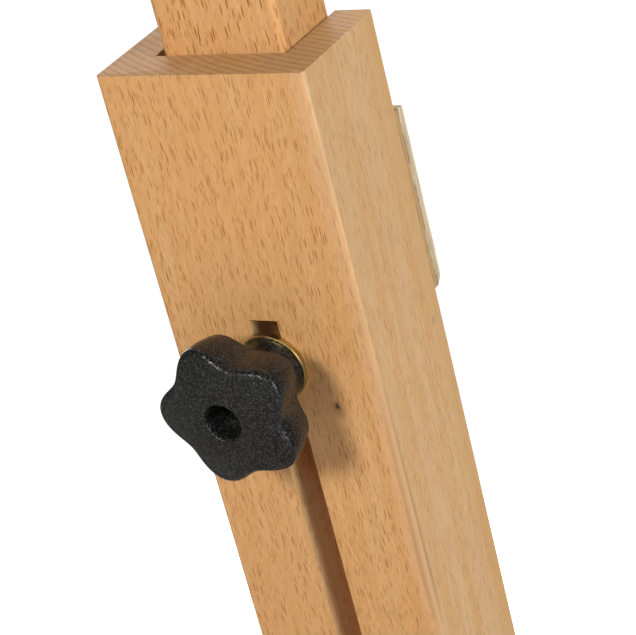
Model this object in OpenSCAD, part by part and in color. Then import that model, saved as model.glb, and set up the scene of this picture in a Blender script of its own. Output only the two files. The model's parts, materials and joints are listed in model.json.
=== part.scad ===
// Tabletop easel with a telescoping mast: a slotted channel mast that leans back
// between two slotted base rails, an inner mast and a canvas ledge that slide in
// its groove, a sliding canvas clamp, and a pair of braces that set the lean.
// Millimetres, +Z up, canvas side towards -Y, origin under the middle of the base.

/* [Mast] */
// Lean of the mast back from upright, in degrees
lean = 26; // [12:1:50]
// Length of the mast from its pivot to its top end
mast_len = 440; // [420:5:480]
// Width of the mast
mast_w = 56; // [52:1:60]
// Depth of the mast from front to back
mast_d = 35; // [33:1:38]
// Thickness of each side wall of the groove
side_wall = 10; // [9:0.5:11]
// Thickness of the back wall that carries the slot
back_wall = 11; // [9:0.5:12]
// Width of the slot in the back wall
slot_w = 8; // [7:0.5:9]
// Distance from the top end of the mast to the top of the slot
slot_top_gap = 64; // [60:1:80]

/* [Inner mast] */
// Width of the inner mast
inner_w = 33.5; // [30:0.5:34]
// Depth of the inner mast
inner_d = 22; // [20:0.5:22.5]
// Length of the inner mast
inner_len = 400; // [380:5:420]
// Distance from the top end of the mast down to the locking bolt
bolt_drop = 76.5; // [72:0.5:90]
// Length of the inner mast below its locking bolt
inner_tail = 40; // [30:1:50]

/* [Knobs] */
// Diameter across the lobes of a star knob
knob_d = 37.6; // [36:0.4:42]
// Height of a star knob from its hub to its outer face
knob_h = 24.4; // [22:0.2:27]
// Depth of the valleys between the lobes
lobe_depth = 3.8; // [3:0.2:5]
// Turn of the mast knob about its axis, in degrees
knob_turn = -0.5; // [-36:0.5:36]

/* [Ledge] */
// Width of the canvas ledge
ledge_w = 380; // [300:10:420]
// Depth of the shelf from backboard to lip
shelf_d = 45; // [35:1:55]
// Height of the ledge bolt above the mast pivot
ledge_at = 105; // [100:1:110]

/* [Base] */
// Thickness of each base rail
rail_t = 18; // [16:1:22]
// Height of each base rail
rail_h = 44; // [40:1:50]
// Length of a rail in front of the pivot
rail_front = 60; // [50:1:80]
// Length of a rail behind the pivot
rail_back = 375; // [370:1:400]
// Width of the front and rear feet
foot_w = 340; // [300:10:380]
// Brace length between its pivots, which is also its pivot's height up the mast
brace_len = 190; // [186:1:192]

/* [Hidden] */
$fn = 48;

beech = [0.85, 0.64, 0.41];
beech_pale = [0.88, 0.70, 0.49];
plywood = [0.80, 0.70, 0.52];
black_plastic = [0.09, 0.09, 0.09];
yellow_zinc = [0.78, 0.66, 0.32];
brass = [0.74, 0.60, 0.28];
steel = [0.66, 0.67, 0.68];
rubber = [0.07, 0.07, 0.07];
leather = [0.42, 0.26, 0.14];

edge_r = 1.2;        // eased long edges of the mast
inner_edge_r = 1.8;  // eased long edges of the inner mast
small_r = 1.5;       // eased edges of the smaller boards
air = 0.05;          // gap between faces that slide or turn on each other
bore_gap = 0.08;     // radial running clearance of a bolt in its hole
m6_r = 3;
m8_r = 4;
washer_t = 1.6;
m6_washer_r = 9;
m6_small_washer_r = 6;
m8_washer_r = 8;
head_recess = 4;     // depth of the counterbore for a carriage bolt's head
ledge_knob_turn = 20;
clamp_knob_turn = 9;
rod_knob_left_turn = 30;
rod_knob_right_turn = -12;

// Base heights
pad_t = 4;
foot_h = 22;
foot_d = 40;
foot_inset = 5;      // from a rail's end to a foot's edge
base_screw_len = 36; // ends below the slot in the rail
pivot_y = -(rail_back - rail_front) / 2;
pivot_z = pad_t + foot_h + rail_h / 2;

// Mast stations, measured up the mast from its pivot
slot_top = mast_len - slot_top_gap;
slot_bottom = 68;
groove_bottom = 40;
bolt_at = mast_len - bolt_drop;
inner_bottom = bolt_at - inner_tail;
back_face = mast_d / 2;
front_face = -mast_d / 2;
groove_w = mast_w - 2 * side_wall;
groove_back = back_face - back_wall;
inner_back = groove_back - 0.3;
inner_front = inner_back - inner_d;
inner_x = -(groove_w / 2 - inner_w / 2 - 0.4);   // the inner mast rides against one wall

// Plywood plates that bridge the front of the groove
plate_t = 5;
plate_cut = 2;       // chamfer across the plate's lower outer edge
plate_h = 48;
plate_w = mast_w - 2;
plate_upper_at = mast_len - 50.5;
plate_lower_at = 215;

// Ledge
slider_len = 60;
slider_front = front_face - 0.5;
slider_d = inner_back - slider_front;
board_t = 12;
board_h = 50;
board_front = slider_front - board_t;
board_bottom = ledge_at - 25;
shelf_t = 14;
shelf_top = board_bottom + shelf_t;
lip_t = 8;
lip_h = 22;
shelf_front = board_front - shelf_d;

// Canvas clamp, a collar round the inner mast
clamp_at = 690;
clamp_h = 50;
clamp_w = 60;
clamp_gap = 0.5;
cheek_t = 11;
collar_front = inner_front - clamp_gap;
collar_back = inner_back + clamp_gap;
clamp_back_t = 16;
hook_t = 12;
hook_lip_t = 8;
hook_reach = 28;
pad_size = 20;
pad_recess = 3.5;

// Braces
brace_t = 14;
brace_w = 26;
brace_x = mast_w / 2 + washer_t + air + brace_t / 2;
rail_inner = brace_x + brace_t / 2 + washer_t + 2 * air;
rail_outer = rail_inner + rail_t;
brace_foot_y = 2 * brace_len * sin(lean);
rail_slot_w = 8.6;
rail_slot_from = 60;
rail_slot_to = 348;

// ---------------------------------------------------------------- frames

module mast_frame() translate([0, pivot_y, pivot_z]) rotate([-lean, 0, 0]) children();

// Origin at the brace's pivot on the mast, with its foot at z = -brace_len
module brace_frame()
    translate([0, pivot_y + brace_len * sin(lean), pivot_z + brace_len * cos(lean)])
        rotate([lean, 0, 0]) children();

// Turns a shape that points along +Z so that it points along +Y, -Y, +X or -X
module face_back() rotate([-90, 0, 0]) children();
module face_front() rotate([90, 0, 0]) children();
module face_right() rotate([0, 90, 0]) children();
module face_left() rotate([0, -90, 0]) children();

// ---------------------------------------------------------------- shared shapes

// Rectangle centred on the origin with rounded corners
module rounded(w, d, r) {
    square([w - 2 * r, d], center = true);
    square([w, d - 2 * r], center = true);
    for (x = [-1, 1], y = [-1, 1]) translate([x * (w / 2 - r), y * (d / 2 - r)]) circle(r = r);
}

// Bar standing along Z with its four long edges rounded
module eased_bar(w, d, h, r) linear_extrude(h) rounded(w, d, r);

// Board lying along X, centred in Y and Z, with rounded long edges
module eased_board(len, d, h, r)
    translate([-len / 2, 0, 0]) face_right() eased_bar(h, d, len, r);

module washer(r, hole_r, t = washer_t)
    difference() {
        cylinder(h = t, r = r);
        translate([0, 0, -1]) cylinder(h = t + 2, r = hole_r);
    }

module hex_nut(across_flats, h, hole_r)
    difference() {
        cylinder(h = h, r = across_flats / sqrt(3), $fn = 6);
        translate([0, 0, -1]) cylinder(h = h + 2, r = hole_r);
    }

// Countersunk wood screw: its head's flat top is at z = 0 and its point at z = -len
module wood_screw(len, r = 1.8, grow = 0) {
    head_r = 2 * r;
    head_h = 1.1 * r;
    difference() {
        union() {
            translate([0, 0, -head_h - grow])
                cylinder(h = head_h + grow, r1 = r + grow, r2 = head_r + grow);
            translate([0, 0, -len + 2 * r]) cylinder(h = len - 2 * r, r = r + grow);
            translate([0, 0, -len]) cylinder(h = 2 * r, r1 = 0.3, r2 = r + grow);
        }
        if (grow == 0)
            for (a = [0, 90]) rotate(a) translate([-r, -0.35, -1]) cube([2 * r, 0.7, 2]);
    }
}

// Outline of a star knob: round lobes with round valleys, all but tangent, cut between them
module star() {
    overlap = 0.3;
    tip_r = knob_d / 2;
    floor_r = tip_r - lobe_depth + overlap;
    lobe_r = 0.3 * tip_r;
    lobe_at = tip_r - lobe_r;
    valley_r = (pow(lobe_at, 2) + pow(floor_r, 2) - 2 * lobe_at * floor_r * cos(36) - pow(lobe_r, 2))
        / (2 * lobe_r + 2 * lobe_at * cos(36) - 2 * floor_r);
    valley_at = floor_r + valley_r;
    lobe_c = [lobe_at, 0];
    valley_c = valley_at * [cos(36), sin(36)];
    meet_r = norm(lobe_c + (valley_c - lobe_c) * lobe_r / (lobe_r + valley_r));
    difference() {
        union() {
            circle(r = meet_r);
            for (lobe = [0:4]) rotate(72 * lobe) translate([lobe_at, 0]) circle(r = lobe_r);
        }
        for (lobe = [0:4])
            rotate(72 * lobe + 36) translate([valley_at, 0]) circle(r = valley_r + overlap);
    }
}

// Star knob: hub face at z = 0, outer face at z = knob_h, bore for its threaded core
module star_knob(core_r, through = true) {
    hub_r = 8.4;
    lobe_from = 10.9;
    back_r = 0.92 * knob_d / 2;
    rim_from = knob_h - 3.4;
    shoulder_at = knob_h - 1.7;
    chamfer = 1.6;
    clear_r = knob_d / 2 + 0.5;
    crown_r = 6;
    blind_bore = 13;
    difference() {
        union() {
            cylinder(h = lobe_from + 1, r = hub_r);
            intersection() {
                translate([0, 0, lobe_from]) linear_extrude(knob_h - lobe_from) star();
                rotate(36) rotate_extrude() polygon([
                    [0, lobe_from],
                    [back_r, lobe_from],
                    [clear_r, rim_from],
                    [clear_r, shoulder_at - chamfer],
                    [clear_r - chamfer, shoulder_at],
                    [crown_r, knob_h],
                    [0, knob_h]
                ]);
            }
        }
        translate([0, 0, -1])
            cylinder(h = (through ? knob_h + 2 : blind_bore), r = core_r + air);
    }
}

module knob_insert(core_r, bolt_r)
    difference() {
        cylinder(h = 12, r = core_r);
        translate([0, 0, -1]) cylinder(h = 14, r = bolt_r + bore_gap);
    }

knob_core_r = 4.65;
rod_core_r = 5.65;

// Carriage bolt: domed head below z = 0, square neck, then a shank up to z = len
module carriage_bolt(len) {
    head_r = 7;
    head_h = 3;
    intersection() {
        translate([0, 0, -head_h]) cylinder(h = head_h, r = head_r);
        translate([0, 0, 6.5]) sphere(r = 9.5);
    }
    translate([-m6_r, -m6_r, -0.01]) cube([2 * m6_r, 2 * m6_r, 3]);
    cylinder(h = len, r = m6_r);
}

// Counterbore, square seat and hole for a carriage bolt that goes in from z = 0
module carriage_bolt_hole(depth, recess) {
    seat = 2 * m6_r + 2 * air;
    translate([0, 0, -1]) cylinder(h = recess + 1, r = 7.5);
    translate([-seat / 2, -seat / 2, recess - 0.01]) cube([seat, seat, 3.1]);
    cylinder(h = depth + 1, r = m6_r + bore_gap);
}

// ---------------------------------------------------------------- base

module rail(side) {
    cross_y = [-rail_front + foot_inset + foot_d / 2, rail_back - foot_inset - foot_d / 2];
    nose_r = 16;
    color(beech)
    difference() {
        translate([side * (rail_inner + rail_t / 2), pivot_y, pivot_z - rail_h / 2])
            rotate([0, 0, 90]) rotate([90, 0, 0])
                translate([0, 0, -rail_t / 2]) linear_extrude(rail_t)
                    difference() {
                        translate([-rail_front, 0]) square([rail_front + rail_back, rail_h]);
                        for (end = [[-rail_front, 1], [rail_back, -1]])
                            translate([end[0] + end[1] * nose_r, rail_h - nose_r])
                                difference() {
                                    translate([end[1] > 0 ? -nose_r - 1 : 0, 0])
                                        square([nose_r + 1, nose_r + 1]);
                                    circle(r = nose_r);
                                }
                    }
        translate([side * (rail_inner - 1), pivot_y, pivot_z]) rotate([0, side * 90, 0]) {
            cylinder(h = rail_t + 2, r = m8_r + bore_gap);
            for (y = [rail_slot_from + rail_slot_w / 2, rail_slot_to - rail_slot_w / 2])
                translate([0, y, 0]) cylinder(h = rail_t + 2, r = rail_slot_w / 2);
            translate([-rail_slot_w / 2, rail_slot_from + rail_slot_w / 2, 0])
                cube([rail_slot_w, rail_slot_to - rail_slot_from - rail_slot_w, rail_t + 2]);
        }
        for (y = cross_y) base_screws_at(y, side) wood_screw(base_screw_len, grow = air);
    }
}

// Two screws up through a foot into one rail
module base_screws_at(y, side)
    for (dy = [-11, 11])
        translate([side * (rail_inner + rail_t / 2), pivot_y + y + dy, pad_t])
            rotate([180, 0, 0]) children();

module foot(y, is_front) {
    end_r = 18;
    color(beech)
    difference() {
        translate([0, pivot_y + y, pad_t])
            eased_bar(foot_w, foot_d, foot_h, end_r);
        for (side = [-1, 1]) {
            base_screws_at(y, side) wood_screw(base_screw_len, grow = air);
            pad_at(y, side) pad_screw(grow = air);
        }
    }
}

module pad_at(y, side)
    translate([side * (foot_w / 2 - 24), pivot_y + y, pad_t]) children();

module pad_screw(grow = 0) rotate([180, 0, 0]) translate([0, 0, 2]) wood_screw(16, 1.5, grow);

foot_front_y = -rail_front + foot_inset + foot_d / 2;
foot_rear_y = rail_back - foot_inset - foot_d / 2;

module rubber_pads()
    color(rubber)
    for (y = [foot_front_y, foot_rear_y], side = [-1, 1])
        pad_at(y, side) rotate([180, 0, 0])
            difference() {
                cylinder(h = pad_t, r1 = 11, r2 = 9.5);
                translate([0, 0, -1]) cylinder(h = pad_t + 2, r = 1.5 + air);
                translate([0, 0, 0.3]) cylinder(h = pad_t, r = 3.2);
            }

module pad_screws()
    color(steel)
    for (y = [foot_front_y, foot_rear_y], side = [-1, 1]) pad_at(y, side) pad_screw();

module base_screws()
    color(steel)
    for (y = [foot_front_y, foot_rear_y], side = [-1, 1])
        base_screws_at(y, side) wood_screw(base_screw_len);

// ---------------------------------------------------------------- mast pivot

module at_pivot() translate([0, pivot_y, pivot_z]) children();

module pivot_bolt()
    color(steel)
    at_pivot() {
        reach = rail_outer + washer_t + air;
        translate([-reach, 0, 0]) face_right() cylinder(h = 2 * reach + 11, r = m8_r);
        translate([-reach, 0, 0]) face_left() cylinder(h = 5.3, r = 13 / sqrt(3), $fn = 6);
    }

module pivot_washers()
    color(steel)
    at_pivot() for (side = [-1, 1])
        translate([side * (rail_outer + air), 0, 0]) rotate([0, side * 90, 0])
            washer(m8_washer_r, m8_r + bore_gap);

module pivot_nut()
    color(steel)
    at_pivot() translate([rail_outer + washer_t + air, 0, 0]) face_right()
        hex_nut(13, 8, m8_r + 0.02);

module pivot_spacers()
    color(black_plastic)
    at_pivot() for (side = [-1, 1])
        translate([side * (mast_w / 2 + 0.2), 0, 0]) rotate([0, side * 90, 0])
            washer(16, m8_r + bore_gap, rail_inner - mast_w / 2 - 0.2 - air);

// ---------------------------------------------------------------- mast

// Two holes, or bolts, through the side walls where the braces pivot
module brace_bolts_at()
    mast_frame() for (side = [-1, 1])
        translate([side * groove_w / 2, 0, brace_len]) rotate([0, side * 90, 0]) children();

// Countersunk bolt with its head sunk a little below the groove's wall, at z = 0
module countersunk_bolt(len, grow = 0) {
    sunk = 0.3;
    head_h = 3.3;
    head_r = 2 * m6_r;
    translate([0, 0, sunk]) {
        cylinder(h = head_h, r1 = head_r + grow, r2 = m6_r + grow);
        cylinder(h = len - sunk, r = m6_r + grow);
    }
    if (grow > 0)
        translate([0, 0, -1]) cylinder(h = sunk + 1.01, r = head_r + grow);
}

module mast_channel()
    color(beech)
    difference() {
        mast_frame() {
            eased_bar(mast_w, mast_d, mast_len, edge_r);
            translate([-mast_w / 2, 0, 0]) face_right() cylinder(h = mast_w, r = mast_d / 2);
        }
        mast_frame() {
            translate([-groove_w / 2, front_face - 1, groove_bottom])
                cube([groove_w, mast_d - back_wall + 1, mast_len]);
            translate([-slot_w / 2, 0, slot_bottom])
                cube([slot_w, mast_d, slot_top - slot_bottom]);
            translate([-mast_w, 0, 0]) face_right() cylinder(h = 2 * mast_w, r = m8_r + bore_gap);
            for (at = [plate_upper_at, plate_lower_at])
                plate_screws_at(at) wood_screw(22, grow = air);
        }
        brace_bolts_at() countersunk_bolt(2 * side_wall, bore_gap);
    }

module plate_screws_at(at)
    for (x = [-1, 1] * (mast_w / 2 - side_wall / 2), z = [-1, 1] * 15)
        translate([x, front_face - plate_t, at + z]) face_front() children();

module bridge_plate(at)
    color(plywood)
    mast_frame() difference() {
        translate([-plate_w / 2, front_face - plate_t, at - plate_h / 2])
            rotate([90, 0, 90]) linear_extrude(plate_w) polygon([
                [plate_t, 0],
                [plate_t, plate_h],
                [0.4, plate_h],
                [0, plate_h - 0.4],
                [0, plate_cut],
                [plate_cut, 0]
            ]);
        plate_screws_at(at) wood_screw(22, grow = air);
    }

module bridge_screws()
    color(steel)
    mast_frame() for (at = [plate_upper_at, plate_lower_at])
        plate_screws_at(at) wood_screw(22);

brace_bolt_len = side_wall + 2 * washer_t + brace_t + 3 * air + 8;

module brace_bolts()
    color(steel)
    brace_bolts_at() countersunk_bolt(brace_bolt_len);

module brace_bolt_washers()
    color(steel)
    brace_bolts_at() for (z = [side_wall + air / 2, side_wall + washer_t + brace_t + 2 * air])
        translate([0, 0, z]) washer(m6_small_washer_r, m6_r + bore_gap);

module brace_bolt_nuts()
    color(steel)
    brace_bolts_at() translate([0, 0, side_wall + 2 * washer_t + brace_t + 3 * air])
        hex_nut(10, 6, m6_r + 0.02);

// ---------------------------------------------------------------- inner mast

module inner_mast()
    color(beech_pale)
    mast_frame() difference() {
        translate([inner_x, (inner_back + inner_front) / 2, inner_bottom])
            eased_bar(inner_w, inner_d, inner_len, inner_edge_r);
        translate([0, inner_front, bolt_at]) face_back() carriage_bolt_hole(inner_d, head_recess);
    }

module locking_bolt(at, head_y) {
    in_knob = 15;
    reach = back_face + washer_t + in_knob - head_y;
    color(steel)
    mast_frame() translate([0, head_y, at]) face_back() carriage_bolt(reach);
}

module locking_washer(at)
    color(yellow_zinc)
    mast_frame() translate([0, back_face + air / 2, at]) face_back()
        washer(m6_washer_r, m6_r + 0.3);

// Where a knob's hub face sits, just clear of its washer
module locking_knob_at(at)
    mast_frame() translate([0, back_face + washer_t + air, at]) face_back() children();

module locking_knob(at, turn)
    color(black_plastic)
    locking_knob_at(at) rotate(turn) star_knob(knob_core_r);

module locking_insert(at)
    color(brass)
    locking_knob_at(at) knob_insert(knob_core_r, m6_r);

// ---------------------------------------------------------------- ledge

module ledge_slider()
    color(beech_pale)
    mast_frame() difference() {
        translate([inner_x, (inner_back + slider_front) / 2, ledge_at - slider_len / 2])
            eased_bar(inner_w, slider_d, slider_len, small_r);
        translate([0, slider_front, ledge_at]) face_back() carriage_bolt_hole(slider_d, head_recess);
        slider_screws_at() wood_screw(30, 2, grow = air);
    }

module slider_screws_at()
    for (z = [-1, 1] * 19)
        translate([inner_x, board_front, ledge_at + z]) face_front() children();

shelf_screw_x = [-165, -90, 90, 165] * ledge_w / 380;

module shelf_screws_at()
    for (x = shelf_screw_x)
        translate([x, slider_front, board_bottom + shelf_t / 2]) face_back() children();

module ledge_backboard()
    color(beech)
    mast_frame() difference() {
        translate([0, (slider_front + board_front) / 2, board_bottom + board_h / 2])
            eased_board(ledge_w, board_t, board_h, small_r);
        slider_screws_at() wood_screw(30, 2, grow = air);
        shelf_screws_at() wood_screw(35, grow = air);
    }

module ledge_shelf() {
    groove_r = 9;
    color(beech)
    mast_frame() difference() {
        translate([-ledge_w / 2, shelf_front, board_bottom]) cube([ledge_w, shelf_d, shelf_t]);
        translate([-ledge_w / 2 + 15, shelf_front + 12, shelf_top + groove_r - 2.5])
            face_right() cylinder(h = ledge_w - 30, r = groove_r);
        shelf_screws_at() wood_screw(35, grow = air);
        lip_screws_at() wood_screw(20, 1.5, grow = air);
    }
}

module lip_screws_at()
    for (x = [-150, -50, 50, 150] * ledge_w / 380)
        translate([x, shelf_front - lip_t, board_bottom + shelf_t / 2]) face_front() children();

module ledge_lip()
    color(beech)
    mast_frame() difference() {
        translate([0, shelf_front - lip_t / 2, board_bottom + lip_h / 2])
            eased_board(ledge_w, lip_t, lip_h, small_r);
        lip_screws_at() wood_screw(20, 1.5, grow = air);
    }

module ledge_screws()
    color(steel)
    mast_frame() {
        slider_screws_at() wood_screw(30, 2);
        shelf_screws_at() wood_screw(35);
    }

module lip_screws()
    color(brass)
    mast_frame() lip_screws_at() wood_screw(20, 1.5);

// ---------------------------------------------------------------- canvas clamp

cheek_x = inner_w / 2 + clamp_gap + cheek_t / 2;

module collar_frame() mast_frame() translate([inner_x, 0, clamp_at]) children();

// Screws through the front and back blocks into the cheeks
module collar_screws_at() {
    for (side = [-1, 1], z = [-1, 1]) {
        translate([side * cheek_x, board_front, 17 * z]) face_front() children();
        translate([side * cheek_x, collar_back + clamp_back_t, 10 * z]) face_back() children();
    }
}

module hook_screws_at()
    for (x = [-18, 18])
        translate([x, (board_front + collar_front) / 2, clamp_h / 2 + hook_t]) children();

module collar_block(w, y_from, y_to)
    translate([-w / 2, y_from, -clamp_h / 2]) cube([w, y_to - y_from, clamp_h]);

module clamp_front()
    color(beech)
    collar_frame() difference() {
        collar_block(clamp_w, board_front, collar_front);
        collar_screws_at() wood_screw(28, grow = air);
        hook_screws_at() wood_screw(32, grow = air);
    }

module clamp_back()
    color(beech)
    collar_frame() difference() {
        collar_block(clamp_w, collar_back, collar_back + clamp_back_t);
        collar_screws_at() wood_screw(28, grow = air);
        translate([-pad_size / 2 - air, collar_back - 1, -pad_size / 2 - air])
            cube([pad_size + 2 * air, pad_recess + 1, pad_size + 2 * air]);
        translate([0, collar_back, 0]) face_back() cylinder(h = clamp_back_t + 1, r = 4.5 + air);
    }

module clamp_cheek(side)
    color(beech)
    collar_frame() difference() {
        translate([side * cheek_x, 0, 0]) collar_block(cheek_t, collar_front, collar_back);
        collar_screws_at() wood_screw(28, grow = air);
    }

// Hook over the top edge of the canvas, screwed down on the front block
module clamp_hook()
    color(beech)
    collar_frame() difference() {
        translate([-clamp_w / 2, 0, 0]) face_right() rotate([0, 0, 90])
            linear_extrude(clamp_w) polygon([
                [collar_front, clamp_h / 2],
                [collar_front, clamp_h / 2 + hook_t],
                [board_front - hook_reach + 5, clamp_h / 2 + hook_t],
                [board_front - hook_reach, clamp_h / 2 + hook_t - 5],
                [board_front - hook_reach, clamp_h / 2 - hook_t],
                [board_front - hook_reach + hook_lip_t - 2, clamp_h / 2 - hook_t],
                [board_front - hook_reach + hook_lip_t, clamp_h / 2 - hook_t + 2],
                [board_front - hook_reach + hook_lip_t, clamp_h / 2]
            ]);
        hook_screws_at() wood_screw(32, grow = air);
    }

module clamp_screws()
    color(steel)
    collar_frame() collar_screws_at() wood_screw(28);

module hook_screws()
    color(steel)
    collar_frame() hook_screws_at() wood_screw(32);

module clamp_insert()
    color(brass)
    collar_frame() translate([0, collar_back + clamp_back_t, 0]) face_front()
        difference() {
            cylinder(h = 11, r = 4.5);
            translate([0, 0, -1]) cylinder(h = 13, r = m6_r + bore_gap);
        }

module clamp_pad()
    color(leather)
    collar_frame() translate([-pad_size / 2, inner_back + air, -pad_size / 2])
        cube([pad_size, clamp_gap + pad_recess - 2 * air, pad_size]);

module clamp_knob_at()
    collar_frame() translate([0, collar_back + clamp_back_t + 1, 0]) face_back() children();

module clamp_knob()
    color(black_plastic)
    clamp_knob_at() rotate(clamp_knob_turn) star_knob(m6_r, through = false);

module clamp_stud()
    color(steel)
    clamp_knob_at() translate([0, 0, -1 - clamp_back_t + pad_recess + air])
        cylinder(h = clamp_back_t - pad_recess + 1 + 11, r = m6_r);

// ---------------------------------------------------------------- braces

module brace(side)
    color(beech)
    brace_frame() translate([side * brace_x, 0, 0]) difference() {
        translate([-brace_t / 2, 0, 0]) {
            for (z = [0, -brace_len])
                translate([0, 0, z]) face_right() cylinder(h = brace_t, r = brace_w / 2);
            translate([0, -brace_w / 2, -brace_len]) cube([brace_t, brace_w, brace_len]);
        }
        translate([-brace_t, 0, 0]) face_right() cylinder(h = 2 * brace_t, r = m6_r + bore_gap);
        translate([-brace_t, 0, -brace_len]) face_right()
            cylinder(h = 2 * brace_t, r = m8_r + bore_gap);
    }

module brace_foot() translate([0, pivot_y + brace_foot_y, pivot_z]) children();

module brace_spreader() {
    spread = 2 * (brace_x - brace_t / 2 - air);
    color(beech_pale)
    brace_foot() translate([-spread / 2, 0, 0]) face_right() washer(10, m8_r + bore_gap, spread);
}

module brace_rod() {
    reach = rail_outer + washer_t + 13;
    color(steel)
    brace_foot() translate([-reach, 0, 0]) face_right() cylinder(h = 2 * reach, r = m8_r);
}

module rod_washers()
    color(yellow_zinc)
    brace_foot() for (side = [-1, 1]) {
        translate([side * (rail_outer + air / 2), 0, 0]) rotate([0, side * 90, 0])
            washer(10, m8_r + 0.3);
        translate([side * (rail_inner - washer_t - air), 0, 0]) rotate([0, side * 90, 0])
            washer(m8_washer_r, m8_r + bore_gap);
    }

module rod_knob_at(side)
    brace_foot() translate([side * (rail_outer + washer_t + air), 0, 0])
        rotate([0, side * 90, 0]) children();

module rod_knob(side, turn)
    color(black_plastic)
    rod_knob_at(side) rotate(turn) star_knob(rod_core_r);

module rod_insert(side)
    color(brass)
    rod_knob_at(side) knob_insert(rod_core_r, m8_r);

// ---------------------------------------------------------------- nodes

rail(-1);  // rail_left
rail(1);  // rail_right
foot(foot_front_y);  // foot_front
foot(foot_rear_y);  // foot_rear
rubber_pads();
pad_screws();
base_screws();
pivot_bolt();
pivot_washers();
pivot_nut();
pivot_spacers();
mast_channel();
bridge_plate(plate_upper_at);  // bridge_plate_upper
bridge_plate(plate_lower_at);  // bridge_plate_lower
bridge_screws();
brace_bolts();
brace_bolt_washers();
brace_bolt_nuts();
inner_mast();
locking_bolt(bolt_at, inner_front + head_recess);  // mast_bolt
locking_washer(bolt_at);  // mast_washer
locking_knob(bolt_at, knob_turn);  // mast_knob
locking_insert(bolt_at);  // mast_knob_insert
ledge_slider();
ledge_backboard();
ledge_shelf();
ledge_lip();
ledge_screws();
lip_screws();
locking_bolt(ledge_at, slider_front + head_recess);  // ledge_bolt
locking_washer(ledge_at);  // ledge_washer
locking_knob(ledge_at, ledge_knob_turn);  // ledge_knob
locking_insert(ledge_at);  // ledge_knob_insert
clamp_front();
clamp_back();
clamp_cheek(-1);  // clamp_cheek_left
clamp_cheek(1);  // clamp_cheek_right
clamp_hook();
clamp_screws();
hook_screws();
clamp_insert();
clamp_pad();
clamp_knob();
clamp_stud();
brace(-1);  // brace_left
brace(1);  // brace_right
brace_spreader();
brace_rod();
rod_washers();
rod_knob(-1, rod_knob_left_turn);  // rod_knob_left
rod_insert(-1);  // rod_insert_left
rod_knob(1, rod_knob_right_turn);  // rod_knob_right
rod_insert(1);  // rod_insert_right
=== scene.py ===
import json
import math

import bpy
import numpy as np
from mathutils import Matrix, Vector


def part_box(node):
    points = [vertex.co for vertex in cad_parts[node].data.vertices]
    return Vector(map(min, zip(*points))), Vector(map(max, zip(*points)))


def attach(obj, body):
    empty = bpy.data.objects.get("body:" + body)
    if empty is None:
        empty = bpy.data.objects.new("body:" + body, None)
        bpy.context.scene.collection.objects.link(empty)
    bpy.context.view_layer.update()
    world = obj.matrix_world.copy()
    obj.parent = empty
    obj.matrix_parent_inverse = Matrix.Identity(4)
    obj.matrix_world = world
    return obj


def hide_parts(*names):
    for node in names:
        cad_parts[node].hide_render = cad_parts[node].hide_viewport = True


MM = 0.001

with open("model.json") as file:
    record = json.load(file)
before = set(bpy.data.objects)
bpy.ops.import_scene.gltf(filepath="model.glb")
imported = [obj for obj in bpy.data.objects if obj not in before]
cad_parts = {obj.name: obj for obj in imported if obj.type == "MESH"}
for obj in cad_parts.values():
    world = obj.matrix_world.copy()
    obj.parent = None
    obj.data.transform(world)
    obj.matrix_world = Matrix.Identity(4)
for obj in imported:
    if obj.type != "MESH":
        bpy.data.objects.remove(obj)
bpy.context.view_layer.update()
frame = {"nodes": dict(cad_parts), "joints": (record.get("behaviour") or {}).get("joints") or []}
NODES = frame["nodes"]
JOINTS = {joint["name"]: joint for joint in frame["joints"]}

# The mast's own frame: origin at its pivot, x across, back out of its slotted face, up along its grain
PIVOT = Vector(JOINTS["mast_tilt"]["pos_m"])
ACROSS = Vector((1, 0, 0))
UP = Vector(JOINTS["mast_extend"]["axis"]).normalized()
BACK = Vector(JOINTS["mast_knob_turn"]["axis"]).normalized()
BRACE_TOP = Vector(JOINTS["brace_swing"]["pos_m"])


def on_mast(x, y, z):
    """A point given in millimetres in the mast's frame."""
    return PIVOT + (float(x) * ACROSS + float(y) * BACK + float(z) * UP) * MM


# ---------------------------------------------------------------- camera, light and floor


# The camera that the photograph's edges give
CAMERA_AT = Vector((-0.27824, 0.46576, 0.42217))
CAMERA_FORWARD = Vector((0.50895, -0.85686, -0.08229)).normalized()
CAMERA_UP = Vector((0.0402, -0.0718, 0.9966))
FOCAL_LENGTH, SENSOR_WIDTH, FAR_CLIP = 124.8, 36, 50


def make_camera():
    data = bpy.data.cameras.new("camera")
    data.sensor_width = SENSOR_WIDTH
    data.lens = FOCAL_LENGTH
    data.clip_end = FAR_CLIP
    camera = bpy.data.objects.new("camera", data)
    bpy.context.scene.collection.objects.link(camera)
    bpy.context.scene.camera = camera
    right = CAMERA_FORWARD.cross(CAMERA_UP).normalized()
    up = right.cross(CAMERA_FORWARD)
    turn = Matrix((right, up, -CAMERA_FORWARD)).transposed().to_4x4()
    camera.matrix_world = Matrix.Translation(CAMERA_AT) @ turn


# Name, side of the mast, distance and size in metres, power in watts and colour of each soft box
LIGHTS = (
    ("key", (0.0, 0.99, 0.13), 1.5, (0.28, 0.28), 15.3, (1, 0.985, 0.95)),
    ("fill", (-0.95, 0.25, 0.1), 1.6, (0.7, 0.8), 20.5, (0.95, 0.98, 1)),
    ("top", (0.25, -0.1, 0.95), 1.7, (1.2, 1.2), 9.5, (1, 1, 1)),
    ("front", (0.5, -0.8, 0.3), 2.0, (1.4, 1.4), 22, (1, 0.99, 0.97)),
)
LIT_POINT = on_mast(0, 0, 380)


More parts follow.
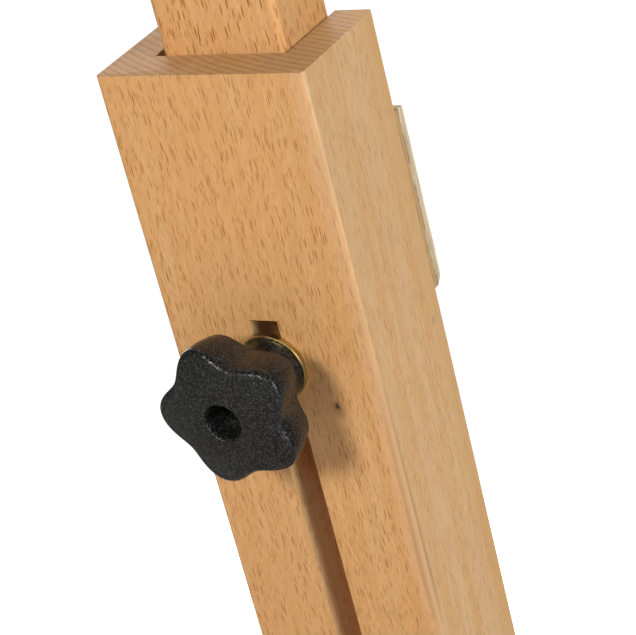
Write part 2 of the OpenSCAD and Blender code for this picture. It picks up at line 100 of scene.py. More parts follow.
def make_lights():
    for name, toward, distance, size, power, colour in LIGHTS:
        data = bpy.data.lights.new(name, "AREA")
        data.shape = "RECTANGLE"
        data.size, data.size_y = size
        data.energy = power
        data.color = colour
        light = bpy.data.objects.new(name, data)
        bpy.context.scene.collection.objects.link(light)
        direction = Vector(toward).normalized()
        light.location = LIT_POINT + direction * distance
        light.rotation_euler = direction.to_track_quat("Z", "Y").to_euler()


# How bright the surround looks to the camera, and how much it lights the object
SURROUND_SEEN, SURROUND_LIGHT = 1.1, 0.09


def make_world():
    """A pale surround that lights the object softly and shows as white behind it."""
    world = bpy.data.worlds.new("studio")
    bpy.context.scene.world = world
    world.use_nodes = True
    tree = world.node_tree
    tree.nodes.clear()
    out = tree.nodes.new("ShaderNodeOutputWorld")
    seen = tree.nodes.new("ShaderNodeBackground")
    lights = tree.nodes.new("ShaderNodeBackground")
    path = tree.nodes.new("ShaderNodeLightPath")
    mix = tree.nodes.new("ShaderNodeMixShader")
    seen.inputs["Color"].default_value = (1, 1, 1, 1)
    seen.inputs["Strength"].default_value = SURROUND_SEEN
    lights.inputs["Color"].default_value = (0.97, 0.985, 1, 1)
    lights.inputs["Strength"].default_value = SURROUND_LIGHT
    tree.links.new(path.outputs["Is Camera Ray"], mix.inputs["Fac"])
    tree.links.new(lights.outputs[0], mix.inputs[1])
    tree.links.new(seen.outputs[0], mix.inputs[2])
    tree.links.new(mix.outputs[0], out.inputs["Surface"])


FLOOR_HALF = 12
FLOOR_TONES = ((0.50, 0.50, 0.50), (0.54, 0.54, 0.54))
# The camera sees a glow on the floor that grows with the distance in metres from the object
GLOW_FROM, GLOW_TO, GLOW_NEAR, GLOW_FAR = 0.3, 1.3, 0.62, 1.04


def make_floor():
    """A pale floor, brighter away from the object so that it runs into the white behind."""
    mesh = bpy.data.meshes.new("floor")
    half = FLOOR_HALF
    corners = [(-half, -half, 0), (half, -half, 0), (half, half, 0), (-half, half, 0)]
    mesh.from_pydata(corners, [], [(0, 1, 2, 3)])
    floor = bpy.data.objects.new("floor", mesh)
    bpy.context.scene.collection.objects.link(floor)
    graph = Graph("floor")
    tone = graph.noise(graph.object_position(), 3, 3)
    graph.set("Base Color", graph.blend(tone, *FLOOR_TONES))
    seen = graph.node("LightPath", {}, "Is Camera Ray")
    away = graph.vector("LENGTH", graph.object_position(), output="Value")
    glow = graph.span(away, GLOW_FROM, GLOW_TO, GLOW_NEAR, GLOW_FAR)
    graph.set("Emission Color", (1, 1, 1))
    graph.set("Emission Strength", graph.product(seen, glow))
    graph.set("Roughness", 0.75)
    mesh.materials.append(graph.material)


# ---------------------------------------------------------------- material building


class Graph:
    """A material and short calls that add its nodes. A value may be a number, a tuple or a node's
    output."""

    def __init__(self, name):
        self.material = bpy.data.materials.new(name)
        self.material.use_nodes = True
        self.tree = self.material.node_tree
        self.tree.nodes.clear()
        out = self.tree.nodes.new("ShaderNodeOutputMaterial")
        self.shader = self.tree.nodes.new("ShaderNodeBsdfPrincipled")
        self.tree.links.new(self.shader.outputs[0], out.inputs["Surface"])

    def feed(self, socket, value):
        if isinstance(value, bpy.types.NodeSocket):
            self.tree.links.new(value, socket)
        elif socket.type == "RGBA":
            socket.default_value = (*value, 1)
        else:
            socket.default_value = value

    def set(self, name, value):
        self.feed(self.shader.inputs[name], value)

    def node(self, kind, inputs, output=0, **settings):
        node = self.tree.nodes.new("ShaderNode" + kind)
        for key, value in settings.items():
            setattr(node, key, value)
        for key, value in inputs.items():
            self.feed(node.inputs[key], value)
        return node.outputs[output]

    def object_position(self):
        return self.node("TexCoord", {}, "Object")

    def object_normal(self):
        return self.node("TexCoord", {}, "Normal")

    def math(self, operation, a, b=0.0):
        return self.node("Math", {0: a, 1: b}, operation=operation)

    def vector(self, operation, a, b=(0, 0, 0), output="Vector"):
        return self.node("VectorMath", {0: a, 1: b}, output, operation=operation)

    def split(self, vector):
        node = self.tree.nodes.new("ShaderNodeSeparateXYZ")
        self.feed(node.inputs[0], vector)
        return node.outputs[0], node.outputs[1], node.outputs[2]

    def join(self, x, y, z):
        return self.node("CombineXYZ", {0: x, 1: y, 2: z})

    def noise(self, position, scale, detail=2.0, roughness=0.5):
        inputs = {"Vector": position, "Scale": scale, "Detail": detail, "Roughness": roughness}
        return self.node("TexNoise", inputs, "Fac")

    def cells(self, position, scale=1.0):
        """Distance to the nearest scattered point, and a random number for that point."""
        node = self.tree.nodes.new("ShaderNodeTexVoronoi")
        self.feed(node.inputs["Vector"], position)
        node.inputs["Scale"].default_value = scale
        return node.outputs["Distance"], self.split(node.outputs["Color"])[0]

    def span(self, value, low, high, to_low=0.0, to_high=1.0, smooth=True):
        """Value's place between low and high, as a number from to_low to to_high."""
        kind = "SMOOTHSTEP" if smooth else "LINEAR"
        inputs = {"Value": value, "From Min": low, "From Max": high, "To Min": to_low, "To Max": to_high}
        return self.node("MapRange", inputs, 0, interpolation_type=kind)

    def blend(self, amount, a, b, mode="MIX"):
        node = self.tree.nodes.new("ShaderNodeMix")
        node.data_type = "RGBA"
        node.blend_type = mode
        self.feed(node.inputs[0], amount)
        self.feed(node.inputs[6], a)
        self.feed(node.inputs[7], b)
        return node.outputs[2]

    def scaled(self, position, x, y, z, seed=0.0):
        """Position stretched along each axis, and moved to its own part of the noise by seed."""
        stretched = self.vector("MULTIPLY", position, (x, y, z))
        return self.vector("ADD", stretched, (seed, seed * 1.7, seed * 2.3))

    def bump(self, height, strength, distance):
        inputs = {"Height": height, "Strength": strength, "Distance": distance}
        self.set("Normal", self.node("Bump", inputs, "Normal"))

    def product(self, *values):
        result = values[0]
        for value in values[1:]:
            result = self.math("MULTIPLY", result, value)
        return result

    def millimetres(self, origin, turn):
        """Object position in millimetres from origin, along the columns of turn."""
        inputs = {
            "Vector": self.object_position(),
            "Location": origin,
            "Rotation": turn.to_euler(),
            "Scale": (MM, MM, MM),
        }
        return self.node("Mapping", inputs, vector_type="TEXTURE")


def axes(grain, across):
    """Grain frame as a matrix: z along the grain, x along the board's face."""
    z = Vector(grain).normalized()
    y = z.cross(Vector(across)).normalized()
    x = y.cross(z)
    return Matrix((x, y, z)).transposed()


# ---------------------------------------------------------------- wood

ORANGE = (0.665, 0.350, 0.136)
PALE = (0.69, 0.445, 0.228)
WARM_STREAK = (0.64, 0.325, 0.12)
PALE_STREAK = (0.69, 0.43, 0.215)
LATE_WOOD = (0.56, 0.285, 0.105)
CLOUD = (0.60, 0.33, 0.14)
BLOTCH = (0.60, 0.325, 0.135)
FLECK = (0.33, 0.115, 0.01)
END_GRAIN = (0.52, 0.295, 0.128)
END_LATE_WOOD = (0.33, 0.175, 0.07)
END_LINE = (0.30, 0.155, 0.062)
END_RAY = (0.56, 0.36, 0.18)
END_PORE = (0.22, 0.11, 0.045)

# In millimetres: a growth ring, how far the rings wander and a shift of the whole pattern
RING_WIDTH, WANDER, WANDER_SHIFT = 1.9, 5.0, 0.5

# Flecks of three sizes: spacing across, inwards and along the grain, in millimetres, seed, the
# distances at which a fleck starts and is full, the chances from none to full, and its strength
FLECK_SIZES = (
    (0.44, 0.6, 5.4, 0, 0.36, 0.24, 0.45, 0.7, 1.0),
    (0.34, 0.5, 3.8, 5, 0.36, 0.24, 0.4, 0.9, 0.85),
    (0.3, 0.4, 2.4, 8, 0.38, 0.2, 0.3, 1.0, 0.45),
)
FLECK_STRENGTH = 0.78

# How much the fibres darken the red, the green and the blue
FIBRE_DEPTHS = (0.1, 0.13, 0.19)


def beech(name, pith, grain, across, seed, reach=60.0, warmth=0.0, flecks=1.0, coarse=1.0,
          marks=(), bands=()):
    """Beech sawn from a log whose centre line passes through pith along grain, where reach is about
    the board's distance from it in millimetres. Flecks are the rays, short dark dashes along the
    grain that fade on a face along them. Coarse widens them. A mark is a round spot at a point, and
    a band is a soft line through a point."""
    graph = Graph(name)
    turn = axes(grain, across)
    world = graph.object_position()
    position = graph.millimetres(pith, turn)
    wave_x = graph.noise(graph.scaled(position, 0.02, 0.02, 0.007, seed), 1, 2)
    wave_y = graph.noise(graph.scaled(position, 0.02, 0.02, 0.007, seed + 31), 1, 2)
    shift_x = graph.math("ADD", graph.product(wave_x, WANDER), WANDER_SHIFT)
    shift_y = graph.math("ADD", graph.product(wave_y, WANDER), WANDER_SHIFT)
    shift = graph.join(shift_x, shift_y, 0.0)
    x, y, z = graph.split(graph.vector("ADD", position, shift))
    radius = graph.math("SQRT", graph.math("ADD", graph.product(x, x), graph.product(y, y)))
    arc = graph.math("MULTIPLY", graph.math("ARCTAN2", y, x), reach)
    polar = graph.join(arc, radius, z)

    normal = graph.object_normal()
    along = graph.vector("DOT_PRODUCT", normal, turn.col[2], "Value")
    n_x = graph.vector("DOT_PRODUCT", normal, turn.col[0], "Value")
    n_y = graph.vector("DOT_PRODUCT", normal, turn.col[1], "Value")
    outward = graph.math("ADD", graph.product(n_x, x), graph.product(n_y, y))
    facing = graph.math("ABSOLUTE", graph.math("DIVIDE", outward, radius))
    flat_sawn = graph.span(facing, 0.25, 0.9)
    end = graph.span(graph.math("ABSOLUTE", along), 0.55, 0.85)
    side = graph.math("SUBTRACT", 1.0, end)

    # growth rings, fine fibres and slow streaks
    ring = graph.math("FRACT", graph.math("DIVIDE", radius, RING_WIDTH))
    line = graph.product(graph.span(ring, 0.6, 0.93), graph.span(ring, 1.0, 0.95))
    ring = graph.product(graph.span(ring, 0.25, 0.9), graph.span(ring, 1.0, 0.93))
    fibres = graph.noise(graph.scaled(polar, 2.2, 2.2, 0.24, seed), 1, 4, 0.68)
    streaks = graph.noise(graph.scaled(polar, 0.33, 0.2, 0.012, seed + 7), 1, 3, 0.55)
    clouds = graph.noise(graph.scaled(position, 0.035, 0.035, 0.012, seed + 13), 1, 2)
    blotches = graph.noise(graph.scaled(position, 0.3, 0.3, 0.12, seed + 19), 1, 3, 0.6)

    base = graph.blend(flat_sawn, PALE, ORANGE)
    warm = graph.span(graph.math("ADD", streaks, warmth), 0.42, 0.68)
    base = graph.blend(graph.product(warm, 0.55), base, WARM_STREAK)
    pale = graph.span(streaks, 0.48, 0.3)
    base = graph.blend(graph.product(pale, 0.4), base, PALE_STREAK)
    soft = graph.span(flat_sawn, 0.0, 1.0, 0.08, 0.26)
    base = graph.blend(graph.product(ring, side, soft), base, LATE_WOOD)
    base = graph.blend(graph.span(clouds, 0.35, 0.65, 0.0, 0.22), base, CLOUD)
    base = graph.blend(graph.span(blotches, 0.5, 0.7, 0.0, 0.3), base, BLOTCH)

    # end grain: ring lines, thin pale rays and open pores
    pores, _ = graph.cells(graph.scaled(polar, 3.0, 3.0, 0.05, seed))
    rays = graph.noise(graph.scaled(polar, 1.6, 0.05, 0.02, seed + 3), 1, 1)
    end_base = graph.blend(graph.product(ring, 0.25), END_GRAIN, END_LATE_WOOD)
    end_base = graph.blend(graph.product(line, 0.6), end_base, END_LINE)
    end_base = graph.blend(graph.span(rays, 0.54, 0.64, 0.0, 0.35), end_base, END_RAY)
    end_base = graph.blend(graph.span(pores, 0.32, 0.12, 0.0, 0.35), end_base, END_PORE)
    base = graph.blend(end, base, end_base)

    # ray flecks
    dashes = 0.0
    for width, inward, length, own_seed, start, full, rare, common, strength in FLECK_SIZES:
        cells = graph.scaled(polar, 1 / width / coarse, 1 / inward, 1 / length, seed + own_seed)
        distance, chance = graph.cells(cells)
        present = graph.span(chance, rare, common, 0.0, strength)
        fleck = graph.product(graph.span(distance, start, full), present)
        dashes = graph.math("MAXIMUM", dashes, fleck)
    shown = graph.span(facing, 0.2, 0.85, 0.45, 1.0)
    dashes = graph.product(dashes, shown, side, min(FLECK_STRENGTH * flecks, 1.0))
    base = graph.blend(dashes, base, FLECK)

    tint = []
    for depth in FIBRE_DEPTHS:
        tint.append(graph.span(fibres, 0.28, 0.72, 1 - depth, 1 + 0.7 * depth, smooth=False))
    base = graph.blend(1.0, base, graph.join(*tint), "MULTIPLY")

    for point, size, amount, colour in marks:
        away = graph.vector("DISTANCE", world, point, "Value")
        spot = graph.span(away, size * MM, size * 0.25 * MM, 0.0, amount)
        base = graph.blend(spot, base, colour)
    # On the mast, the bands are a painted highlight and painted shade along its back edge.
    for point, direction, size, amount, colour in bands:
        offset = graph.vector("CROSS_PRODUCT", graph.vector("SUBTRACT", world, point), direction)
        away = graph.vector("LENGTH", offset, output="Value")
        away = graph.math("ADD", away, graph.span(clouds, 0.3, 0.7, -0.001, 0.001))
        base = graph.blend(graph.span(away, size * MM, size * 0.4 * MM, 0.0, amount), base, colour)

    graph.set("Base Color", base)
    graph.set("Roughness", graph.span(streaks, 0.3, 0.7, 0.46, 0.6))
    graph.set("Specular IOR Level", 0.35)
    height = graph.math("SUBTRACT", graph.product(fibres, 0.5), dashes)
    graph.bump(height, 0.35, 0.00008)
    return graph.material


# Depths of the two glue lines below the face that meets the mast, in millimetres
PLY_JOINTS = (0.7, 2.35)
GLUE = (0.14, 0.075, 0.03)


def plywood(name, seed):
    """Three plies seen in layers on the edges, and a peeled veneer on the two faces."""
    graph = Graph(name)
    position = graph.millimetres(on_mast(0, 0, 0), axes(UP, ACROSS))
    _, y, _ = graph.split(position)
    ragged = graph.noise(graph.scaled(position, 0.3, 0.3, 0.16, seed), 1, 4, 0.7)
    depth = graph.math("ADD", y, graph.span(ragged, 0.2, 0.8, -0.55, 0.55, smooth=False))
    fibres = graph.noise(graph.scaled(position, 2.5, 5.0, 0.12, seed), 1, 3, 0.6)
    rough = graph.noise(graph.scaled(position, 2.5, 5.0, 1.6, seed), 1, 3, 0.6)
    patches = graph.noise(graph.scaled(position, 0.4, 0.6, 0.05, seed + 2), 1, 3, 0.6)

    # the plies on the edge, from the mast outwards: orange, brown and cream, with glue between
    cream = graph.blend(graph.span(fibres, 0.3, 0.7), (0.60, 0.45, 0.27), (0.80, 0.66, 0.45))
    cream = graph.blend(graph.span(patches, 0.48, 0.62, 0.0, 0.6), cream, (0.42, 0.30, 0.17))
    brown = graph.blend(rough, (0.42, 0.25, 0.11), (0.62, 0.40, 0.20))
    orange = graph.blend(fibres, (0.60, 0.37, 0.17), (0.74, 0.5, 0.25))
    near = plate_depth()
    thickness = near - float(mast_coordinates("bridge_plate_upper")[:, 1].min())
    inner_joint, outer_joint = PLY_JOINTS
    edge = graph.blend(graph.span(depth, near - outer_joint - 0.1, near - outer_joint + 0.15), cream, brown)
    edge = graph.blend(graph.span(depth, near - inner_joint - 0.05, near - inner_joint + 0.1), edge, orange)
    for line, amount in ((thickness, 0.85), (outer_joint, 0.9), (inner_joint, 0.75)):
        away = graph.math("ABSOLUTE", graph.math("SUBTRACT", depth, near - line))
        seam = graph.product(graph.span(away, 0.22, 0.05), graph.span(ragged, 0.38, 0.58, 0.15, amount))
        edge = graph.blend(seam, edge, GLUE)

    # the veneer on the faces
    veneer_ring = graph.noise(graph.scaled(position, 0.16, 0.16, 0.012, seed + 4), 1, 3, 0.6)
    veneer = graph.blend(graph.span(veneer_ring, 0.4, 0.6), (0.70, 0.54, 0.33), (0.78, 0.63, 0.42))
    veneer = graph.blend(graph.span(fibres, 0.35, 0.2, 0.0, 0.4), veneer, (0.5, 0.33, 0.16))
    facing = graph.math("ABSOLUTE", graph.vector("DOT_PRODUCT", graph.object_normal(), BACK, "Value"))
    graph.set("Base Color", graph.blend(graph.span(facing, 0.6, 0.9), edge, veneer))
    graph.set("Roughness", graph.span(fibres, 0.2, 0.8, 0.55, 0.75))
    graph.set("Specular IOR Level", 0.3)
    graph.bump(graph.math("ADD", rough, fibres), 0.4, 0.00012)
    return graph.material


def plate_depth():
    """Depth in the mast's frame, in millimetres, of the face that the plates are screwed to."""
    return float(mast_coordinates("mast_channel")[:, 1].min())


# ---------------------------------------------------------------- other materials


FACET_SCALE, FACET_LEAN = 3400, 0.2
PLASTIC_BUMP = 0.00005


def moulded_plastic(name, seed=0.0):
    """Black glass-filled nylon with the fine spark-eroded grain of its mould, which is small facets
    that each lean their own way over a fine bump, with pale specks painted on some facets as painted
    glints."""
    graph = Graph(name)
    world = graph.object_position()
    grain = graph.noise(graph.scaled(world, 1, 1, 1, seed), 2600, 2, 0.6)
    pits = graph.noise(graph.scaled(world, 1, 1, 1, seed + 9), 1100, 2, 0.5)
    clouds = graph.noise(world, 60, 2)
    facets = graph.tree.nodes.new("ShaderNodeTexVoronoi")
    graph.feed(facets.inputs["Vector"], graph.scaled(world, 1, 1, 1, seed))
    facets.inputs["Scale"].default_value = FACET_SCALE
    facet = facets.outputs["Color"]
    shade = graph.split(facet)[1]
    base = graph.blend(clouds, (0.005, 0.005, 0.005), (0.009, 0.0086, 0.0082))
    # pale specks on some facets: painted glints that stand in for the sparkle of the grain
    base = graph.blend(graph.span(shade, 0.55, 1.0), base, (0.045, 0.045, 0.044))
    graph.set("Base Color", base)
    graph.set("Roughness", graph.span(pits, 0.3, 0.7, 0.2, 0.3))
    graph.set("Specular IOR Level", 0.26)
    height = graph.math("ADD", grain, graph.product(pits, 1.4))
    bump = {"Height": height, "Strength": 1.0, "Distance": PLASTIC_BUMP}
    bumped = graph.node("Bump", bump, "Normal")
    middle = graph.vector("SUBTRACT", facet, (0.5, 0.5, 0.5))
    lean = graph.vector("MULTIPLY", middle, (FACET_LEAN, FACET_LEAN, FACET_LEAN))
    graph.set("Normal", graph.vector("NORMALIZE", graph.vector("ADD", bumped, lean)))
    return graph.material


LINES_PER_METRE = 9000.0


def plated_metal(name, tones, rough, axis, seed):
    """Turned or drawn metal: fine lines round its axis, and a slow shift between its two tones."""
    graph = Graph(name)
    world = graph.object_position()
    along = graph.vector("DOT_PRODUCT", world, axis, "Value")
    lines = graph.noise(graph.join(graph.product(along, LINES_PER_METRE), 0.0, seed), 1, 3, 0.7)
    clouds = graph.noise(graph.scaled(world, 1, 1, 1, seed), 420, 3, 0.6)
    tone = graph.math("ADD", graph.product(clouds, 0.7), graph.product(lines, 0.3))
    graph.set("Base Color", graph.blend(graph.span(tone, 0.3, 0.7), *tones))
    graph.set("Metallic", 1.0)
    graph.set("Roughness", graph.span(clouds, 0.3, 0.7, rough * 0.8, rough * 1.3))
    graph.bump(lines, 0.15, 0.00002)
    return graph.material


def rubber():
    """Black rubber with a fine grain and a little dust."""
    graph = Graph("rubber_grain")
    world = graph.object_position()
    grain = graph.noise(world, 1500, 3, 0.6)
    dust = graph.noise(world, 180, 3, 0.6)
    base = graph.blend(graph.span(dust, 0.45, 0.75), (0.018, 0.018, 0.018), (0.05, 0.048, 0.045))
    graph.set("Base Color", base)
    graph.set("Roughness", graph.span(dust, 0.3, 0.7, 0.7, 0.88))
    graph.bump(grain, 0.4, 0.00015)
    return graph.material


def hide():
    """Vegetable-tanned leather: pebbled, darker in the creases."""
    graph = Graph("leather_pebble")
    world = graph.object_position()
    pebble, shade = graph.cells(world, 1400)
    tone = graph.noise(world, 90, 3, 0.6)
    base = graph.blend(tone, (0.15, 0.065, 0.025), (0.26, 0.125, 0.05))
    base = graph.blend(graph.span(pebble, 0.35, 0.7, 0.0, 0.6), base, (0.07, 0.03, 0.012))
    graph.set("Base Color", base)
    graph.set("Roughness", graph.span(shade, 0.0, 1.0, 0.5, 0.68))
    graph.bump(graph.math("SUBTRACT", 1.0, pebble), 0.6, 0.0003)
    return graph.material


# ---------------------------------------------------------------- CAD nodes in their finishes


WOOD_EDGE, PLY_EDGE, SPREADER_EDGE, HARDWARE_EDGE = 0.35, 0.25, 0.3, 0.15
WELD_WITHIN = 0.000002
SHARP_ANGLE = math.radians(32)


def mast_coordinates(node):
    """A CAD node's points in the mast's frame, in millimetres."""
    points = np.array([v.co for v in NODES[node].data.vertices], float) - np.array(PIVOT)
    frame_axes = np.array([ACROSS, BACK, UP], float)
    return points @ frame_axes.T / MM


def dress(node, material, edge=WOOD_EDGE):
    """Gives a CAD node its material and eases its sharp edges, by so many millimetres."""
    piece = NODES[node]
    piece.data.materials.clear()
    piece.data.materials.append(material)
    for polygon in piece.data.polygons:
        polygon.material_index = 0
    weld = piece.modifiers.new("weld", "WELD")
    weld.merge_threshold = WELD_WITHIN
    bevel = piece.modifiers.new("bevel", "BEVEL")
    bevel.width = edge * MM
    bevel.segments = 2
    bevel.limit_method = "ANGLE"
    bevel.angle_limit = SHARP_ANGLE
    bevel.use_clamp_overlap = True
    bevel.harden_normals = True


def centre(node):
    """The middle of a node's box, in metres."""
    low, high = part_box(node)
    return (low + high) / 2


def dress_mast():
    """The two masts, the slider and the plates. The outer mast has a small pin and a speck, a pale
    painted highlight beside its rounded back edge, and painted shade down that edge, which two
    lights reach at once."""
    points = mast_coordinates("mast_channel")
    left = points[:, 0].min()
    back = points[:, 1].max()
    top = points[:, 2].max()
    knot = on_mast(-14.7, back, top - 87.2)
    tail = on_mast(-14.9, back, top - 89.0)
    pin = on_mast(-14.6, back, top - 86.4)
    speck = on_mast(left, -12.5, top - 80)
    marks = (
        (knot, 2.6, 0.5, (0.30, 0.14, 0.05)),
        (tail, 2.4, 0.45, (0.34, 0.15, 0.05)),
        (knot, 0.95, 0.95, (0.05, 0.022, 0.01)),
        (pin, 0.7, 0.8, (0.08, 0.035, 0.015)),
        (speck, 1.6, 0.55, (0.22, 0.17, 0.11)),
    )
    # Painted light along the outer mast's back edge: a pale painted highlight beside the edge, and painted
    # shade on the edge that offsets the two lights reaching it at once. The third band is a wide, slightly
    # darker tone down the far edge.
    painted_highlight_line = on_mast(left + 2, back, 0)
    edge = on_mast(left, back, 0)
    far_edge = on_mast(left, -back, 0)
    bands = (
        (painted_highlight_line, UP, 3.4, 0.35, (0.69, 0.43, 0.24)),
        (edge, UP, 2.2, 0.9, (0.46, 0.265, 0.125)),
        (far_edge, UP, 9.0, 0.45, (0.63, 0.36, 0.15)),
    )
    pith = on_mast(-70, -132, 0)
    wood = beech("beech_mast", pith, UP, ACROSS, 3.0, 150, marks=marks, bands=bands)
    dress("mast_channel", wood)
    pith = on_mast(56, -60, 0)
    dress("inner_mast", beech("beech_inner_mast", pith, UP, ACROSS, 17.0, 82, 0.06, 1.3, 1.45))
    pith = on_mast(-22, 48, 0)
    dress("ledge_slider", beech("beech_slider", pith, UP, ACROSS, 23.0, 50, 0.04))
    for node in ("bridge_plate_upper", "bridge_plate_lower"):
        dress(node, plywood("ply_" + node, 2.0 if "upper" in node else 9.0), PLY_EDGE)


def dress_boards():
    """Each board comes from its own place in a log: the log's centre is offset from the board by so
    many millimetres across it."""
    boards = (
        ("rail_left", (0, 1, 0), (1, 0, 0), (38, -44)),
        ("rail_right", (0, 1, 0), (1, 0, 0), (-52, -30)),
        ("foot_front", (1, 0, 0), (0, 1, 0), (14, -52)),
        ("foot_rear", (1, 0, 0), (0, 1, 0), (-22, 60)),
        ("ledge_backboard", (1, 0, 0), UP, (18, 66)),
        ("ledge_shelf", (1, 0, 0), BACK, (-12, -58)),
        ("ledge_lip", (1, 0, 0), UP, (30, 44)),
        ("clamp_front", (1, 0, 0), UP, (8, 54)),
        ("clamp_back", (1, 0, 0), UP, (-14, -50)),
        ("clamp_hook", (1, 0, 0), BACK, (10, -62)),
        ("clamp_cheek_left", UP, BACK, (20, -48)),
        ("clamp_cheek_right", UP, BACK, (-26, 46)),
    )
    for number, (node, grain, across, offset) in enumerate(boards):
        turn = axes(grain, across)
        pith = centre(node) + (offset[0] * turn.col[0] + offset[1] * turn.col[1]) * MM
        reach = math.hypot(*offset)
        warmth = 0.05 * math.sin(3.1 * number)
        dress(node, beech("beech_" + node, pith, grain, across, 41.0 + 6 * number, reach, warmth))
    rod = centre("brace_rod")
    brace_grain = (BRACE_TOP - rod).normalized()
    for node, sideways, seed in (("brace_left", 52, 131.0), ("brace_right", -48, 139.0)):
        pith = centre(node) + Vector((sideways, 12, 20)) * MM
        dress(node, beech("beech_" + node, pith, brace_grain, ACROSS, seed, 56, 0.03))
    pith = rod + Vector((0, 30, 45)) * MM
    wood = beech("beech_spreader", pith, ACROSS, (0, 1, 0), 151.0, 54, 0.05)
    dress("brace_spreader", wood, SPREADER_EDGE)


YELLOW_ZINC = ((0.42, 0.31, 0.11), (0.62, 0.50, 0.22))
BRIGHT_ZINC = ((0.50, 0.51, 0.52), (0.70, 0.71, 0.72))
BRASS = ((0.60, 0.40, 0.15), (0.78, 0.56, 0.24))


def dress_hardware():
    """Each metal comes twice: for the parts whose axis is the knobs', and for those that lie across."""
    yellow = plated_metal("yellow_zinc", YELLOW_ZINC, 0.32, BACK, 1.0)
    yellow_side = plated_metal("yellow_zinc_side", YELLOW_ZINC, 0.32, ACROSS, 2.0)
    zinc = plated_metal("bright_zinc", BRIGHT_ZINC, 0.3, ACROSS, 3.0)
    zinc_back = plated_metal("bright_zinc_back", BRIGHT_ZINC, 0.3, BACK, 4.0)
    brass = plated_metal("turned_brass", BRASS, 0.28, BACK, 5.0)
    brass_side = plated_metal("turned_brass_side", BRASS, 0.28, ACROSS, 6.0)
    finishes = (
        (yellow, ("mast_washer", "ledge_washer")),
        (yellow_side, ("rod_washers",)),
        (zinc, ("pivot_bolt", "pivot_washers", "pivot_nut", "brace_bolts", "brace_bolt_washers",
                "brace_bolt_nuts", "brace_rod", "pad_screws", "base_screws")),
        (zinc_back, ("mast_bolt", "ledge_bolt", "clamp_stud", "bridge_screws", "ledge_screws",
                     "clamp_screws", "hook_screws")),
        (brass, ("mast_knob_insert", "ledge_knob_insert", "clamp_insert", "lip_screws")),
        (brass_side, ("rod_insert_left", "rod_insert_right")),
        (rubber(), ("rubber_pads",)),
        (moulded_plastic("nylon_spacer", 4.0), ("pivot_spacers",)),
        (hide(), ("clamp_pad",)),
    )
    for material, nodes in finishes:
        for node in nodes:
            dress(node, material, HARDWARE_EDGE)


# ---------------------------------------------------------------- star knobs

LOBES = 5
TURNS = 180

# In millimetres, except BACK_SCALE, which is the share of the outline that the lobes' back has
HUB_R, HUB_EDGE = 8.4, 0.2
WEB_R, BELOW_WEB = 1.3, 2.5
MOUTH_R = 0.35
BACK_AT, BACK_SCALE, BACK_ROUND = 10.9, 0.905, 1.2
RIM_BELOW_TOP, RIM_R = 3.0, 1.9
CROWN_R, CROWN_DROP, DROP_ENDS_INSIDE = 5.4, 1.75, 1.5
LOBE_DEPTH = 3.75
BLIND_DEPTH = 12.0
# Radius and height above the crown of a closed knob's cap, which has a shallow groove round it
CAP = ((4.8, 0.0), (4.4, -0.35), (3.9, -0.35), (3.5, -0.05), (2.4, 0.0), (0.9, 0.0))


def quarter(steps, first=0):
    """The sine and cosine of even steps through a quarter turn."""
    for step in range(first, steps + 1):
        angle = step / steps * math.pi / 2
        yield math.sin(angle), math.cos(angle)


def hub_stations(bore):
    """Radius and height of the round part, from the bore's mouth to the web under the lobes."""
    stations = [(bore + MOUTH_R, 0.0), (HUB_R - HUB_EDGE, 0.0)]
    for sine, cosine in quarter(4, 1):
        stations.append((HUB_R - HUB_EDGE * (1 - sine), HUB_EDGE * (1 - cosine)))
    stations.append((HUB_R, BACK_AT - WEB_R - BELOW_WEB))
    for sine, cosine in quarter(5):
        stations.append((HUB_R + WEB_R * (1 - cosine), BACK_AT - WEB_R * (1 - sine)))
    return stations


def knob_rings(bore, blind, radius, height):
    """Rings of the knob's surface as arrays of radius and height round its axis, in millimetres,
    from the hub's mouth, out, over the crown and down the bore."""
    angle = np.arange(TURNS) * 2 * math.pi / TURNS
    wave = (1 + np.cos(LOBES * angle)) / 2
    valley = radius - LOBE_DEPTH
    outline = valley + (radius - valley) * wave
    rim_at = height - RIM_BELOW_TOP
    rings = []

    def add(ring_radius, ring_height):
        rings.append((np.broadcast_to(ring_radius, TURNS), np.broadcast_to(ring_height, TURNS)))

    def dome(ring):
        share = np.clip((ring - CROWN_R) / (radius - DROP_ENDS_INSIDE - CROWN_R), 0, 1.2)
        return height - CROWN_DROP * share**2

    for station in hub_stations(bore):
        add(*station)
    back = outline * BACK_SCALE
    start = rings[-1][0]
    for step in range(1, 5):
        share = step / 5
        add(start + (back - BACK_ROUND - start) * share, BACK_AT)
    for sine, cosine in quarter(5):
        add(back - BACK_ROUND * (1 - sine), BACK_AT + BACK_ROUND * (1 - cosine))
    side_from = BACK_AT + BACK_ROUND
    for step in range(1, 10):
        share = step / 9
        scale = BACK_SCALE + (1 - BACK_SCALE) * math.sin(share * math.pi / 2) ** 0.9
        add(outline * scale, side_from + (rim_at - side_from) * share)
    top = dome(outline - RIM_R)
    for sine, cosine in quarter(7, 1):
        add(outline - RIM_R * (1 - cosine), rim_at + (top - rim_at) * sine)
    edge = rings[-1][0]
    for step in range(1, 15):
        share = step / 14
        ring = edge * (1 - share) + CROWN_R * share
        add(ring, dome(ring))
    if blind:
        for cap_radius, drop in CAP:
            add(cap_radius, height + drop)
    else:
        lip = CROWN_R - bore
        for sine, cosine in quarter(5, 1):
            add(CROWN_R - lip * sine, height - lip * (1 - cosine))
        for station in (height - 3, height - 6, height - 9, 6.0, 1.0):
            add(bore, station)
    return angle, rings


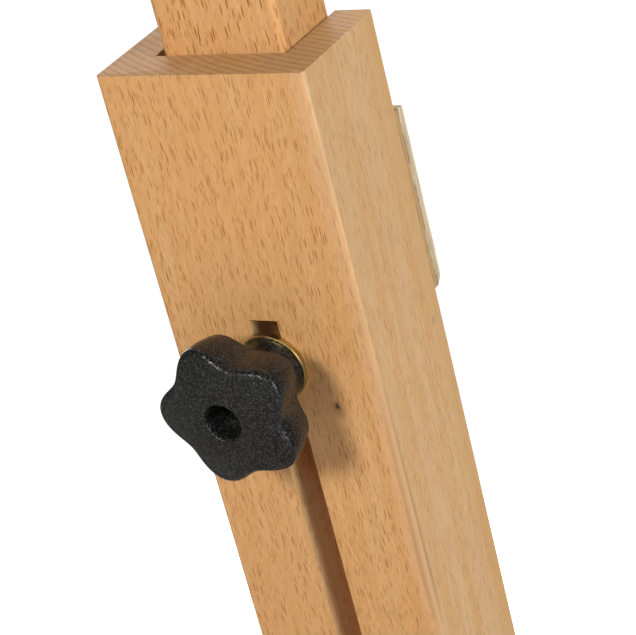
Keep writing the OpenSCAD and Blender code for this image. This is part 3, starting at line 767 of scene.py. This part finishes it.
def knob_measure(node, joint):
    """Where a CAD knob's axis starts, its outer radius, height, bore and the turn of its lobes."""
    axis = Vector(JOINTS[joint]["axis"]).normalized()
    origin = Vector(JOINTS[joint]["pos_m"])
    side = ACROSS if abs(axis.x) < 0.5 else Vector((0, 1, 0))
    other = axis.cross(side).normalized()
    side = other.cross(axis)
    points = np.array([v.co for v in NODES[node].data.vertices], float) - np.array(origin)
    along = points @ np.array(axis)
    u, v = points @ np.array(side), points @ np.array(other)
    away = np.hypot(u, v)
    tips = away > 0.985 * away.max()
    turn = np.angle(np.exp(1j * LOBES * np.arctan2(v[tips], u[tips])).mean()) / LOBES
    base = origin + axis * float(along.min())
    return base, axis, side, other, away.max() / MM, (along.max() - along.min()) / MM, away.min() / MM, turn


def star_knob(node, joint, body, material, blind=False):
    """A moulded knob in place of a CAD knob. A blind one has a closed crown and a closed bore."""
    base, axis, side, other, radius, height, bore, turn = knob_measure(node, joint)
    angle, rings = knob_rings(bore, blind, radius, height)
    spin = angle + turn
    start, along = np.array(base), np.array(axis)
    flat = np.outer(np.cos(spin), np.array(side)) + np.outer(np.sin(spin), np.array(other))
    rows = [start + MM * (flat * r[:, None] + np.outer(z, along)) for r, z in rings]
    vertices = np.concatenate(rows)
    faces = []
    count = len(rows)
    loops = count - 1 if blind else count
    for row in range(loops):
        following = (row + 1) % count
        for step in range(TURNS):
            after = (step + 1) % TURNS
            low, high = row * TURNS, following * TURNS
            faces.append((low + step, low + after, high + after, high + step))
    vertices = [tuple(p) for p in vertices]
    if blind:
        floor = len(vertices)
        vertices.append(tuple(start + MM * BLIND_DEPTH * along))
        top = len(vertices)
        vertices.append(tuple(start + MM * height * along))
        mouth = len(vertices)
        vertices += [tuple(start + MM * (ray * bore)) for ray in flat]
        deep = len(vertices)
        vertices += [tuple(start + MM * (ray * bore + BLIND_DEPTH * along)) for ray in flat]
        last = (count - 1) * TURNS
        for step in range(TURNS):
            after = (step + 1) % TURNS
            faces.append((last + step, last + after, top))
            faces.append((mouth + step, mouth + after, after, step))
            faces.append((deep + step, deep + after, mouth + after, mouth + step))
            faces.append((deep + after, deep + step, floor))
    mesh = bpy.data.meshes.new(node)
    mesh.from_pydata(vertices, [], faces)
    mesh.validate()
    mesh.shade_smooth()
    mesh.materials.append(material)
    piece = bpy.data.objects.new("moulded_" + node, mesh)
    bpy.context.scene.collection.objects.link(piece)
    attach(piece, body)
    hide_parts(node)


def make_knobs():
    nylon = moulded_plastic("nylon_knob")
    star_knob("mast_knob", "mast_knob_turn", "mast_knob", nylon)
    star_knob("ledge_knob", "ledge_knob_turn", "ledge_knob", nylon)
    star_knob("clamp_knob", "clamp_knob_turn", "clamp_knob", nylon, blind=True)
    star_knob("rod_knob_left", "rod_knob_left_turn", "rod_knob_left", nylon)
    star_knob("rod_knob_right", "rod_knob_right_turn", "rod_knob_right", nylon)


make_camera()
make_world()
make_lights()
make_floor()
dress_mast()
dress_boards()
dress_hardware()
make_knobs()
bpy.context.scene.view_settings.view_transform = "Standard"
